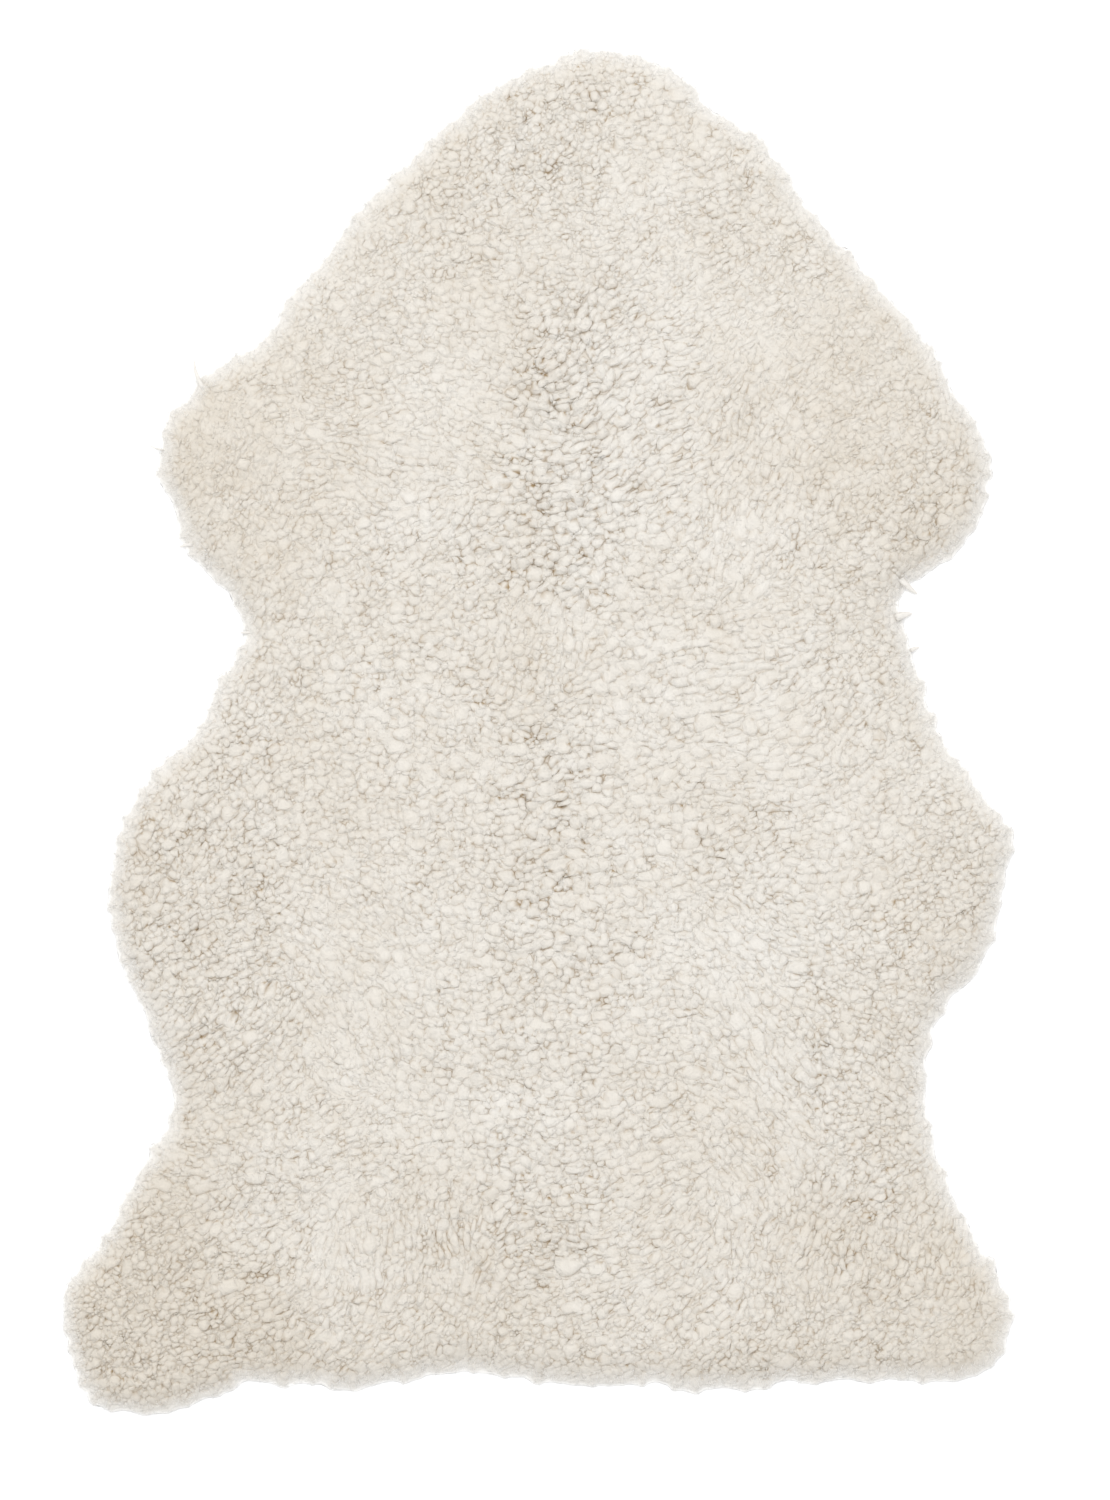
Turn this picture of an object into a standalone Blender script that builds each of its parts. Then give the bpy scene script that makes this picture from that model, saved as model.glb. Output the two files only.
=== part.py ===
# A sheepskin rug lying flat: one skin with its short, curly wool on, seen from above with the neck
# at +Y and the tail at -Y. The solid is the wool's lumpy slab with a row of locks round its rim.
# Metres, +Z up. The origin is on the floor, under the middle of the rug's box.
import math
import random

import bmesh
import bpy
import numpy as np
from mathutils import Vector, noise
from mathutils.geometry import delaunay_2d_cdt

MM = 0.001

# Driving sizes
SKIN_LENGTH = 0.958  # from the tail edge to the top of the neck, over the locks
SKIN_WIDTH = 0.668  # across the widest stretch, over the locks
PILE_HEIGHT = 0.0215  # floor to the top of the wool, away from the rim
RIM_HEIGHT = 0.0065  # height of the upright rim wall, where the locks start
RIM_ROUNDING = 0.028  # how far in from the wall the wool takes to reach its full height
SHOULDER_INSET = 0.005  # first row of points in from the wall

# Lumps of the wool's surface
LUMP_SIZES = ((0.046, 0.0034), (0.023, 0.0014))  # each row: width of a lump, how high it stands
LUMP_FADE = 0.030  # the lumps grow from nothing at the wall to full over this distance
SPINE_OFFSET = 0.026  # the back's line lies right of the middle
SPINE_SWAY = 0.012  # and wanders this far to each side
SPINE_FURROW_DEPTH = 0.0016
SPINE_FURROW_WIDTH = 0.020

# Spacing of the points
RIM_PITCH = 0.0122  # one lock for each stretch of the rim
TOP_PITCH = 0.0142  # over the wool's surface
RIM_CLEARANCE = 0.0100  # no surface point lies nearer to the shoulder's own points
MERGE_DISTANCE = 1e-7
INSIDE_ONLY = 1  # the triangulation keeps only what lies inside the shoulder

# Locks at the rim
LOCK_REACH = (0.0050, 0.0095)  # shortest and longest
LOCK_LEAN = 0.0022  # how far a tip leans to one side
LOCK_ROOM = 0.0030  # in a hollow of the rim, how far a tip may come towards its neighbour
LOCK_SECTIONS = ((0.55, 0.82, 0.74), (1.00, 0.40, 0.34))  # each row: share of reach, width and height
LOCK_SEED = 11

# The outline over the locks, clockwise from the top of the neck. Each pair is the distance across
# from the middle, to the right, and the distance along from the tail edge, in millimetres.
OUTLINE = {
    "neck": ((0, 945), (42, 957), (91, 946), (112, 926), (168, 883)),
    "right shoulder": (
        (182, 853), (209, 828), (277, 748), (291, 718), (313, 688), (318, 651), (306, 617), (284, 594),
    ),
    "right waist": ((255, 580), (253, 561), (265, 533), (271, 503), (285, 475), (306, 444)),
    "right flank": ((333, 412), (331, 381), (324, 342), (311, 315), (294, 296), (278, 270), (273, 235)),
    "right leg": ((278, 190), (294, 150), (312, 116), (331, 86), (332, 60), (324, 34), (300, 24)),
    "tail": (
        (236, 25), (175, 22), (112, 17), (70, 24), (38, 20), (-9, 25),
        (-46, 32), (-84, 25), (-133, 18), (-170, 23), (-205, 21), (-237, 8),
    ),
    "left leg": (
        (-261, 1), (-305, 4), (-320, 25), (-331, 64), (-334, 88), (-322, 103),
        (-306, 118), (-297, 140), (-280, 167), (-267, 190), (-253, 222),
    ),
    "left flank": (
        (-266, 258), (-281, 298), (-293, 325), (-299, 365), (-292, 412),
        (-272, 447), (-246, 470), (-224, 511), (-206, 548),
    ),
    "left waist": ((-210, 566), (-224, 582), (-243, 603), (-256, 635), (-266, 655)),
    "left shoulder": ((-263, 695), (-241, 713), (-232, 732), (-191, 754), (-166, 792), (-120, 848), (-44, 922)),
}
SPLINE_STEPS = 12  # points read from the smooth curve between two outline points

WOOL_COLOUR = (0.80, 0.75, 0.66, 1.0)
WOOL_ROUGHNESS = 0.9


# The outline's points about the middle of the rug, in metres.
def outlinePoints():
    pairs = [pair for stretch in OUTLINE.values() for pair in stretch]
    points = np.array(pairs, dtype=float) * MM
    points[:, 1] -= SKIN_LENGTH / 2
    return points


# A smooth closed curve through the points.
def smoothClosed(points):
    before, after, beyond = (np.roll(points, shift, axis=0) for shift in (1, -1, -2))
    curve = []
    for t in np.arange(SPLINE_STEPS) / SPLINE_STEPS:
        curve.append(
            0.5 * (
                2 * points
                + (after - before) * t
                + (2 * before - 5 * points + 4 * after - beyond) * t ** 2
                + (3 * points - before - 3 * after + beyond) * t ** 3
            )
        )
    return np.stack(curve, axis=1).reshape(-1, 2)


# Points along a closed curve, all about one pitch apart.
def evenlySpaced(curve, pitch):
    closed = np.vstack([curve, curve[:1]])
    run = np.concatenate([[0], np.cumsum(np.linalg.norm(np.diff(closed, axis=0), axis=1))])
    count = round(run[-1] / pitch)
    at = np.arange(count) * run[-1] / count
    return np.stack([np.interp(at, run, closed[:, axis]) for axis in range(2)], axis=1)


# The ring moved in by the inset; the ring runs clockwise.
def movedInward(ring, inset):
    tangent = np.roll(ring, -1, axis=0) - np.roll(ring, 1, axis=0)
    tangent /= np.linalg.norm(tangent, axis=1)[:, None]
    inward = np.stack([tangent[:, 1], -tangent[:, 0]], axis=1)
    return ring + inward * inset


# How far each point lies from the ring's nearest side.
def distanceToRing(points, ring):
    nearest = np.full(len(points), np.inf)
    for start, end in zip(ring, np.roll(ring, -1, axis=0)):
        side = end - start
        share = np.clip((points - start) @ side / (side @ side), 0, 1)
        nearest = np.minimum(nearest, np.linalg.norm(points - start - share[:, None] * side, axis=1))
    return nearest


# Whether each point lies inside the ring.
def insideRing(points, ring):
    inside = np.zeros(len(points), dtype=bool)
    for start, end in zip(ring, np.roll(ring, -1, axis=0)):
        spans = (start[1] > points[:, 1]) != (end[1] > points[:, 1])
        if spans.any():
            crossing = start[0] + (points[:, 1] - start[1]) * (end[0] - start[0]) / (end[1] - start[1])
            inside ^= spans & (points[:, 0] < crossing)
    return inside


# A grid of points over the wool, every second row shifted by half a step, clear of the ring.
def surfacePoints(ring):
    rowGap = TOP_PITCH * math.sqrt(3) / 2
    columns = math.ceil(SKIN_WIDTH / TOP_PITCH)
    rows = math.ceil(SKIN_LENGTH / rowGap)
    points = np.array([
        ((column + 0.5 * (row % 2)) * TOP_PITCH - SKIN_WIDTH / 2, row * rowGap - SKIN_LENGTH / 2)
        for row in range(rows)
        for column in range(columns)
    ])
    points = points[insideRing(points, ring)]
    return points[distanceToRing(points, ring) > RIM_CLEARANCE]


# Height of the wool's surface over the floor.
def woolHeight(x, y, fromWall):
    share = min(fromWall / RIM_ROUNDING, 1.0)
    rounding = math.sqrt(1 - (1 - share) ** 2)
    height = RIM_HEIGHT + (PILE_HEIGHT - RIM_HEIGHT) * rounding
    lumps = 0.0
    for width, rise in LUMP_SIZES:
        lumps += rise * noise.noise(Vector((x, y, rise)) / width)
    spine = SPINE_OFFSET + SPINE_SWAY * math.sin(math.tau * y / SKIN_LENGTH)
    furrow = SPINE_FURROW_DEPTH * math.exp(-(((x - spine) / SPINE_FURROW_WIDTH) ** 2))
    return height + (lumps - furrow) * min(fromWall / LUMP_FADE, 1.0)


# The lumpy slab inside the wall ring. Returns the wall's upright faces, one for each lock.
def addSlab(bm, wall):
    shoulder = movedInward(wall, SHOULDER_INSET)
    spread = surfacePoints(shoulder)
    count = len(wall)
    flat = [Vector(point) for point in np.vstack([shoulder, spread])]
    rounds = [(index, (index + 1) % count) for index in range(count)]
    flat, _, triangles, *_ = delaunay_2d_cdt(flat, rounds, [], INSIDE_ONLY, MERGE_DISTANCE)
    fromWall = distanceToRing(np.array([point[:] for point in flat]), wall)
    top = [
        bm.verts.new((point.x, point.y, woolHeight(point.x, point.y, gap)))
        for point, gap in zip(flat, fromWall)
    ]
    for triangle in triangles:
        bm.faces.new([top[index] for index in triangle])
    foot = [bm.verts.new((x, y, 0)) for x, y in wall]
    rim = [bm.verts.new((x, y, RIM_HEIGHT)) for x, y in wall]
    upright = []
    for index, after in rounds:
        bm.faces.new((top[index], top[after], rim[after], rim[index]))
        upright.append(bm.faces.new((rim[index], rim[after], foot[after], foot[index])))
    underside = bm.faces.new(foot)
    bmesh.ops.triangulate(bm, faces=[underside], ngon_method="BEAUTY")
    bmesh.ops.recalc_face_normals(bm, faces=bm.faces)
    return upright


# A reach for each upright face, shorter in a hollow of the rim, where locks lean together.
def lockReaches(wall, chance):
    side = np.roll(wall, -1, axis=0) - wall
    heading = np.arctan2(side[:, 1], side[:, 0])
    turn = (np.roll(heading, -1) - heading + math.pi) % math.tau - math.pi
    hollow = np.maximum(np.maximum(turn, np.roll(turn, 1)), 0.0)
    wanted = np.array([chance.uniform(*LOCK_REACH) for _ in wall])
    return np.minimum(wanted, LOCK_ROOM / np.tan(np.maximum(hollow, math.radians(1)) / 2))


# Draws a tapering lock out of an upright face, level on the floor.
def growLock(bm, face, reach, lean):
    outward = Vector((face.normal.x, face.normal.y, 0)).normalized()
    along = Vector((-outward.y, outward.x, 0))
    middle = face.calc_center_median()
    root = Vector((middle.x, middle.y, 0))
    for reachShare, widthShare, heightShare in LOCK_SECTIONS:
        face = bmesh.ops.extrude_discrete_faces(bm, faces=[face])["faces"][0]
        centre = root + outward * reach * reachShare + along * lean * reachShare ** 2
        for vert in face.verts:
            half = math.copysign(RIM_PITCH / 2 * widthShare, (vert.co - root).dot(along))
            lift = RIM_HEIGHT * heightShare if vert.co.z > 0 else 0.0
            vert.co = centre + along * half + Vector((0, 0, lift))


# Puts the origin on the floor under the middle of the finished mesh's box.
def centreOverOrigin(bm):
    across = [vert.co.x for vert in bm.verts]
    lengthwise = [vert.co.y for vert in bm.verts]
    middle = Vector(((min(across) + max(across)) / 2, (min(lengthwise) + max(lengthwise)) / 2, 0))
    bmesh.ops.translate(bm, verts=bm.verts, vec=-middle)


def woolMaterial():
    material = bpy.data.materials.new("wool")
    material.use_nodes = True
    shader = material.node_tree.nodes["Principled BSDF"]
    shader.inputs["Base Color"].default_value = WOOL_COLOUR
    shader.inputs["Roughness"].default_value = WOOL_ROUGHNESS
    shader.inputs["Metallic"].default_value = 0.0
    return material


def buildSheepskin():
    chance = random.Random(LOCK_SEED)
    meanReach = sum(LOCK_REACH) / 2
    outline = smoothClosed(outlinePoints())
    wall = evenlySpaced(movedInward(outline, meanReach), RIM_PITCH)
    bm = bmesh.new()
    upright = addSlab(bm, wall)
    for face, reach in zip(upright, lockReaches(wall, chance)):
        growLock(bm, face, reach, chance.uniform(-LOCK_LEAN, LOCK_LEAN))
    centreOverOrigin(bm)
    mesh = bpy.data.meshes.new("sheepskin")
    bm.to_mesh(mesh)
    bm.free()
    mesh.materials.append(woolMaterial())
    mesh.shade_smooth()
    rug = bpy.data.objects.new("sheepskin", mesh)
    bpy.context.scene.collection.objects.link(rug)
    return rug


for old in list(bpy.data.objects):
    bpy.data.objects.remove(old)
buildSheepskin()
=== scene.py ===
# A curly sheepskin lying wool side up on a pale floor, seen straight from above.
import math

import bmesh
import bpy
import numpy as np
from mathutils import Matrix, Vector, noise
from mathutils.bvhtree import BVHTree
from mathutils.kdtree import KDTree


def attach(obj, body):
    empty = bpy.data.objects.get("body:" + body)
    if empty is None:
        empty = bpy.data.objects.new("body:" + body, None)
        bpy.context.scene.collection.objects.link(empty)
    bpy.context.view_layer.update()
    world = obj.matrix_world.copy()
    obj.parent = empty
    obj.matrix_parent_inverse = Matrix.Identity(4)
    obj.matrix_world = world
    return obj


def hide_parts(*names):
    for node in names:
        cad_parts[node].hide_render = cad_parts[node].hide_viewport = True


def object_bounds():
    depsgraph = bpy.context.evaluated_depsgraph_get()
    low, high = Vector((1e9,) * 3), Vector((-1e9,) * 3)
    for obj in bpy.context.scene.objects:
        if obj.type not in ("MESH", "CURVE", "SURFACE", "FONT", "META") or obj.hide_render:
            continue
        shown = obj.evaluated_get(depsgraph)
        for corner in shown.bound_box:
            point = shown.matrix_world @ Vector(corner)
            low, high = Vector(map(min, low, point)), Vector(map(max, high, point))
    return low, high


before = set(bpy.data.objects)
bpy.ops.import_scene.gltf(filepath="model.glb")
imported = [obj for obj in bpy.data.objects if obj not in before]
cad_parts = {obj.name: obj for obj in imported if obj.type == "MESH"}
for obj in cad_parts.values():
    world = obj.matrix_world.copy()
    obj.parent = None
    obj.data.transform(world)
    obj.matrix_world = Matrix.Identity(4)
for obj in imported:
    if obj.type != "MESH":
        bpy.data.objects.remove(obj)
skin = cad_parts["sheepskin"]
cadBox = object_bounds()
boxLow, boxHigh = (np.array(corner)[:2] for corner in cadBox)
print("frame loaded:", len(skin.data.polygons), "faces")

mm = 0.001


def placed(name, data):
    made = bpy.data.objects.new(name, data)
    bpy.context.scene.collection.objects.link(made)
    return made


def meshOf(name, shape):
    # a bmesh that is finished, as a mesh
    mesh = bpy.data.meshes.new(name)
    shape.to_mesh(mesh)
    shape.free()
    return mesh


# shader helpers: a socket that takes part in sums, and a material that hands them out
class Wire:
    def __init__(self, finish, socket):
        self.finish = finish
        self.socket = socket

    def output(self, name):
        # another output of the same node
        return Wire(self.finish, self.socket.node.outputs[name])

    def sum(self, operation, first, second):
        return self.finish.node("ShaderNodeMath", {"operation": operation}, {0: first, 1: second})

    def __add__(self, other):
        return self.sum("ADD", self, other)

    def __sub__(self, other):
        return self.sum("SUBTRACT", self, other)

    def __rsub__(self, other):
        return self.sum("SUBTRACT", other, self)

    def __mul__(self, other):
        return self.sum("MULTIPLY", self, other)

    def __truediv__(self, other):
        return self.sum("DIVIDE", self, other)

    def __pow__(self, other):
        return self.sum("POWER", self, other)

    __radd__ = __add__
    __rmul__ = __mul__


class Finish:
    def __init__(self, name):
        self.material = bpy.data.materials.new(name)
        self.material.use_nodes = True
        self.tree = self.material.node_tree
        self.shader = self.tree.nodes["Principled BSDF"]

    def feed(self, socket, value):
        if isinstance(value, Wire):
            self.tree.links.new(value.socket, socket)
        else:
            socket.default_value = value

    def node(self, kind, settings=None, sockets=None, out=0):
        made = self.tree.nodes.new(kind)
        for name, value in (settings or {}).items():
            setattr(made, name, value)
        for name, value in (sockets or {}).items():
            self.feed(made.inputs[name], value)
        return Wire(self, made.outputs[out])

    def mix(self, share, first, second, blend="MIX"):
        settings = {"data_type": "RGBA", "blend_type": blend, "clamp_factor": True}
        return self.node("ShaderNodeMix", settings, {0: share, 6: first, 7: second}, out=2)

    def grain(self, place, scale, detail, roughness=0.5, settings=None):
        sockets = {"Vector": place, "Scale": scale, "Detail": detail, "Roughness": roughness}
        return self.node("ShaderNodeTexNoise", settings, sockets)

    def bump(self, height, strength, distance):
        sockets = {"Height": height, "Strength": strength, "Distance": distance}
        return self.node("ShaderNodeBump", {}, sockets)

    def dress(self, **sockets):
        for name, value in sockets.items():
            self.feed(self.shader.inputs[name.replace("_", " ")], value)
        return self.material


# the fleece, read off the skin band by band
# Each band is a height above the middle in mm. Along it: x in mm, lie of the curls in degrees,
# curl width in mm, length over width, relief and warmth of colour.
fleeceBands = {
    463: [(35, 20, 5.8, 1.2, 1, 0.45)],
    407: [(-30, 40, 5.6, 1.1, 0.85, 0.5), (12, 60, 5.4, 1.1, 1.2, 0.5), (81, 10, 10.0, 1.3, 0.6, 0.4),
          (140, 40, 6.2, 1.2, 0.9, 0.45)],
    345: [(-120, 40, 5.6, 1.1, 0.7, 0.5), (-63, 30, 6.8, 1.1, 0.95, 0.45), (0, 0, 6.4, 1.4, 0.65, 0.4),
          (84, 30, 5.8, 1.2, 0.75, 0.4), (161, 45, 5.4, 1.2, 0.8, 0.5)],
    267: [(-168, 50, 5.4, 1.2, 0.7, 0.75), (-112, 30, 6.2, 1.2, 0.8, 0.55), (-52, -10, 8.8, 1.4, 0.5, 0.4),
          (21, 60, 8.4, 1.3, 1.5, 0.35), (77, 25, 6.6, 2.1, 0.9, 0.35), (147, 50, 5.8, 2.0, 0.5, 0.45),
          (225, 45, 5.2, 1.2, 0.55, 0.8)],
    197: [(-225, 70, 5.2, 1.3, 0.6, 0.9), (-133, -5, 6.4, 2.3, 0.75, 0.5), (-60, 0, 8.4, 1.6, 0.6, 0.35),
          (21, 5, 9.6, 1.8, 1.6, 0.35), (84, 30, 7.2, 2.3, 1, 0.3), (147, 60, 6.6, 1.9, 0.7, 0.4),
          (228, 40, 5.6, 1.2, 0.5, 0.75), (287, 60, 6.2, 1.2, 0.9, 0.6)],
    134: [(-235, 60, 5.8, 1.2, 0.75, 0.7), (-182, 40, 7.4, 1.2, 0.7, 0.6), (-112, 20, 7.8, 1.2, 0.8, 0.4),
          (-56, 40, 8.4, 1.5, 1, 0.35), (18, 10, 9.8, 1.4, 1.45, 0.4), (77, 0, 9.8, 1.2, 0.85, 0.3),
          (140, 75, 7.8, 1.8, 0.7, 0.35), (217, 20, 7.2, 1.2, 0.9, 0.5), (273, 55, 6.8, 1.4, 0.95, 0.5)],
    57: [(-189, 30, 6.6, 1.2, 0.95, 0.45), (-126, 10, 9.4, 1.2, 0.8, 0.35), (-63, 0, 9.4, 1.3, 0.85, 0.35),
         (-3, 85, 7.4, 1.5, 0.8, 0.45), (70, 0, 12.5, 1.3, 0.8, 0.3), (147, 10, 8.4, 2.2, 0.85, 0.3),
         (221, 20, 6.8, 1.2, 0.9, 0.4)],
    -16: [(-206, 30, 6.8, 1.2, 1, 0.45), (-133, 0, 10.5, 1.2, 0.8, 0.35), (-63, 0, 9.2, 1.2, 0.85, 0.35),
          (14, 5, 8.6, 1.6, 1.2, 0.4), (77, 0, 11.0, 1.2, 0.85, 0.3), (147, 5, 7.8, 2.5, 0.6, 0.3),
          (217, 50, 9.2, 1.5, 0.95, 0.35), (284, 30, 5.8, 1.2, 0.75, 0.5)],
    -85: [(-262, 40, 6.4, 1.3, 1.0, 0.55), (-203, 30, 7.8, 1.2, 1.2, 0.45), (-133, 0, 7.8, 1.2, 0.75, 0.4),
          (-63, 0, 8.4, 1.2, 0.85, 0.35), (14, 10, 10.5, 1.5, 1.2, 0.4), (77, 0, 10.5, 1.2, 0.8, 0.3),
          (147, 35, 7.8, 1.3, 1, 0.3), (217, 20, 11.5, 1.4, 0.65, 0.35), (289, 20, 6.2, 1.1, 1.0, 0.5)],
    -153: [(-259, 35, 7.0, 1.3, 1.1, 0.55), (-203, 30, 7.0, 1.2, 1.2, 0.5), (-136, -45, 6.4, 1.8, 0.5, 0.4),
           (-63, 0, 8.6, 1.2, 0.8, 0.35), (14, 10, 10.5, 1.3, 1.05, 0.35), (84, 0, 9.4, 1.2, 0.8, 0.3),
           (147, -40, 7.4, 1.9, 0.7, 0.3), (217, 20, 7.0, 1.2, 1, 0.4), (273, 30, 6.6, 1.2, 0.8, 0.5)],
    -223: [(-238, 50, 6.4, 1.8, 1.15, 0.6), (-189, 50, 7.0, 1.6, 1.1, 0.5), (-133, -50, 5.8, 1.6, 0.5, 0.4),
           (-63, 0, 10.0, 1.2, 0.85, 0.35), (14, 0, 9.4, 1.2, 1.0, 0.35), (77, 0, 8.4, 1.4, 0.8, 0.35),
           (147, -50, 7.8, 2.1, 0.7, 0.35), (217, -35, 7.4, 1.3, 1.05, 0.45)],
    -293: [(-252, 10, 5.8, 1.6, 0.8, 0.7), (-196, 0, 8.4, 1.2, 0.75, 0.5), (-133, 30, 6.8, 1.6, 0.8, 0.45),
           (-63, 0, 8.8, 1.2, 0.7, 0.4), (14, 10, 8.8, 1.3, 1.1, 0.4), (84, 20, 9.6, 1.6, 0.75, 0.4),
           (154, -60, 7.2, 2.0, 0.75, 0.45), (224, 20, 6.4, 1.2, 0.9, 0.55)],
    -363: [(-280, 40, 5.2, 1.2, 1.05, 1.4), (-203, 35, 6.8, 1.7, 1, 0.7), (-133, 85, 5.6, 2.2, 0.55, 0.6),
           (-70, 80, 6.4, 2.1, 0.95, 0.55), (14, 20, 7.0, 1.6, 1.05, 0.55), (84, 30, 6.4, 2.2, 0.65, 0.5),
           (147, 80, 6.4, 2.1, 0.75, 0.55), (217, 65, 6.4, 1.9, 1, 0.7), (287, 60, 6.4, 2.0, 1, 0.8)],
    -430: [(-301, 40, 5.2, 1.1, 1.05, 1.5), (-224, 20, 6.4, 1.4, 1.0, 1.3), (-133, 60, 6.4, 1.7, 0.85, 0.7),
           (-49, 30, 6.8, 1.3, 0.8, 0.7), (14, 0, 6.8, 1.2, 0.9, 0.65), (98, 20, 6.8, 1.3, 0.8, 0.65),
           (168, 40, 6.0, 1.2, 0.95, 0.7), (231, 30, 5.8, 1.2, 0.8, 0.75), (294, 30, 5.4, 1.2, 0.5, 0.8)],
}

fleece = {
    "reach": 38 * mm,  # how far each reading carries
    "round": 0.95,  # length over width at which a reading has no lie of its own
    "turn": 26,  # degrees that the lie wanders
    "wander": ((31 * mm, 3, 1.0), (13 * mm, 4, 0.5)),
    "relief": 1.15,
    "reliefPower": 1.25,
    "reliefTop": 2.2,
    "seed": 7,
    "darts": 300000,  # tries at placing a curl
    "margin": 12 * mm,  # round the skin, where darts fall too
    "shelf": 11 * mm,  # side of the squares in which neighbours are looked up
    "rounds": ((0.45, 1.0), (1.0, 0.64)),  # up to this share of the tries, size of the curls
    "evenWidth": 6.6,  # mm, which the curl widths are drawn towards
    "widthSpan": 0.55,
    "size": 0.70,
    "sizeSpread": 0.22,
    "stretchSpread": 0.25,
    "stretchLimits": (1.0, 3.0),
    "crowding": 0.80,  # gap between curls over their width
}

noiseCells = 128  # cells a side of the noise's lattice, past which it repeats
noiseStart = 400  # cell at the origin


def softNoise(points, size, seed):
    # smooth lattice noise from -1 to 1
    lattice = np.random.default_rng(seed).uniform(-1, 1, (noiseCells, noiseCells))
    scaled = points / size + noiseStart
    cell = np.floor(scaled).astype(int)
    part = scaled - cell
    part = part * part * (3 - 2 * part)
    total = np.zeros(len(points))
    for corner in np.ndindex(2, 2):
        weight = np.prod(np.where(corner, part, 1 - part), axis=1)
        at = (cell + corner) % noiseCells
        total += weight * lattice[at[:, 0], at[:, 1]]
    return total


def layered(points, layers):
    # lattice noise of several sizes in one; a layer is its size, seed and share
    return sum(share * softNoise(points, size, seed) for size, seed, share in layers)


def pushed(points, push):
    # points moved about by noise, along each axis by its own
    noises = []
    for axis in (0, 1):
        layers = [(size, seed + axis, share) for size, seed, share in push["layers"]]
        noises.append(layered(points, layers))
    return points + push["reach"] * np.stack(noises, axis=-1)


def unit(vectors):
    return vectors / np.maximum(np.linalg.norm(vectors, axis=-1, keepdims=True), 1e-9)


def woolCharacter(points):
    # lie in radians, curl width in metres, length over width, relief and warmth at each point
    rows = [(x, y, *rest) for y, band in fleeceBands.items() for x, *rest in band]
    x, y, lie, width, stretch, relief, warmth = np.array(rows).T
    away = ((points[:, None, :2] / mm - np.stack([x, y], axis=1)) ** 2).sum(axis=2)
    share = np.exp(-away / (fleece["reach"] / mm) ** 2)
    share = share / np.maximum(share.sum(axis=1, keepdims=True), 1e-12)
    lie, pull = np.radians(lie), stretch - fleece["round"]
    lie = np.arctan2(share @ (pull * np.sin(2 * lie)), share @ (pull * np.cos(2 * lie))) / 2
    lie = lie + math.radians(fleece["turn"]) * layered(points, fleece["wander"])
    width, stretch, relief, warmth = (share @ column for column in (width, stretch, relief, warmth))
    width = fleece["evenWidth"] + (width - fleece["evenWidth"]) * fleece["widthSpan"]
    relief = np.minimum(fleece["relief"] * relief ** fleece["reliefPower"], fleece["reliefTop"])
    return lie, width * mm, stretch, relief, warmth


# the skin's form, read on a lattice and smoothed
land = {
    "cell": 1.5 * mm,
    "margin": 30 * mm,
    "above": 1.0,  # height from which it is felt for
    "blur": 2,  # cells, run three times
    "bare": 0.05,  # cover below which the height counts for nothing
    "thin": 0.02,  # least cover that a height is divided by
    "outline": 0.42,  # cover at which the wool ends
}


def softened(layer, cells):
    for _ in range(3):
        for axis in (0, 1):
            layer = sum(np.roll(layer, step, axis) for step in range(-cells, cells + 1)) / (2 * cells + 1)
    return layer


def kdTreeOf(points):
    tree = KDTree(len(points))
    for index, point in enumerate(points):
        tree.insert((*point[:2], 0), index)
    tree.balance()
    return tree


def readLand():
    # cover and height of the skin, and how far inside its outline each place lies
    shell = bmesh.new()
    shell.from_mesh(skin.data)
    tree = BVHTree.FromBMesh(shell)
    shell.free()
    low, high = cadBox
    cell = land["cell"]
    across = np.arange(low.x - land["margin"], high.x + land["margin"], cell)
    upward = np.arange(low.y - land["margin"], high.y + land["margin"], cell)
    heights = np.zeros((len(across), len(upward)))
    down = Vector((0, 0, -1))
    for i, x in enumerate(across):
        for j, y in enumerate(upward):
            hit = tree.ray_cast(Vector((x, y, land["above"])), down)[0]
            heights[i, j] = hit.z if hit else 0.0
    there = (heights > 0).astype(float)
    cover = softened(there, land["blur"])
    level = softened(heights, land["blur"]) / np.maximum(cover, land["thin"])
    covered = (cover > land["bare"]).astype(float)
    level = softened(level * covered, 1) / np.maximum(softened(covered, 1), land["thin"])
    outline = softened(there, 1)
    crossings = []
    for axis in (0, 1):
        beyond = np.roll(outline, -1, axis)
        crossed = np.argwhere((outline - land["outline"]) * (beyond - land["outline"]) < 0)
        here, past = outline[tuple(crossed.T)], beyond[tuple(crossed.T)]
        part = (land["outline"] - here) / (past - here)
        crossings.append(crossed + part[:, None] * np.eye(2)[axis])
    tree = kdTreeOf(np.concatenate(crossings) * cell + (across[0], upward[0]))
    away = np.array([[tree.find((x, y, 0))[2] for y in upward] for x in across])
    inland = softened(np.where(outline > land["outline"], away, -away), 1)
    return {"left": across[0], "foot": upward[0], "level": level, "inland": inland}


def fromLand(layer, points):
    u = (points[..., 0] - skinLand["left"]) / land["cell"]
    v = (points[..., 1] - skinLand["foot"]) / land["cell"]
    values = skinLand[layer]
    i = np.clip(np.floor(u).astype(int), 0, values.shape[0] - 2)
    j = np.clip(np.floor(v).astype(int), 0, values.shape[1] - 2)
    u, v = np.clip(u - i, 0, 1), np.clip(v - j, 0, 1)
    return (
        values[i, j] * (1 - u) * (1 - v) + values[i + 1, j] * u * (1 - v)
        + values[i, j + 1] * (1 - u) * v + values[i + 1, j + 1] * u * v
    )


# the rim, where the wool rounds over and down to the floor
rim = {
    "wide": 15 * mm,
    "tall": 15 * mm,
    "foot": 0.5 * mm,
    "wave": 1.3 * mm,  # how far the outline goes in and out
    "waves": ((4 * mm, 54, 0.4), (9 * mm, 59, 1.0), (17 * mm, 67, 0.8)),
}
rimRun = math.pi / 2 * math.hypot(rim["wide"], rim["tall"]) / math.sqrt(2)  # length of the round
rimOver = rimRun - rim["wide"]  # how far the flat fleece reaches past the outline


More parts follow.
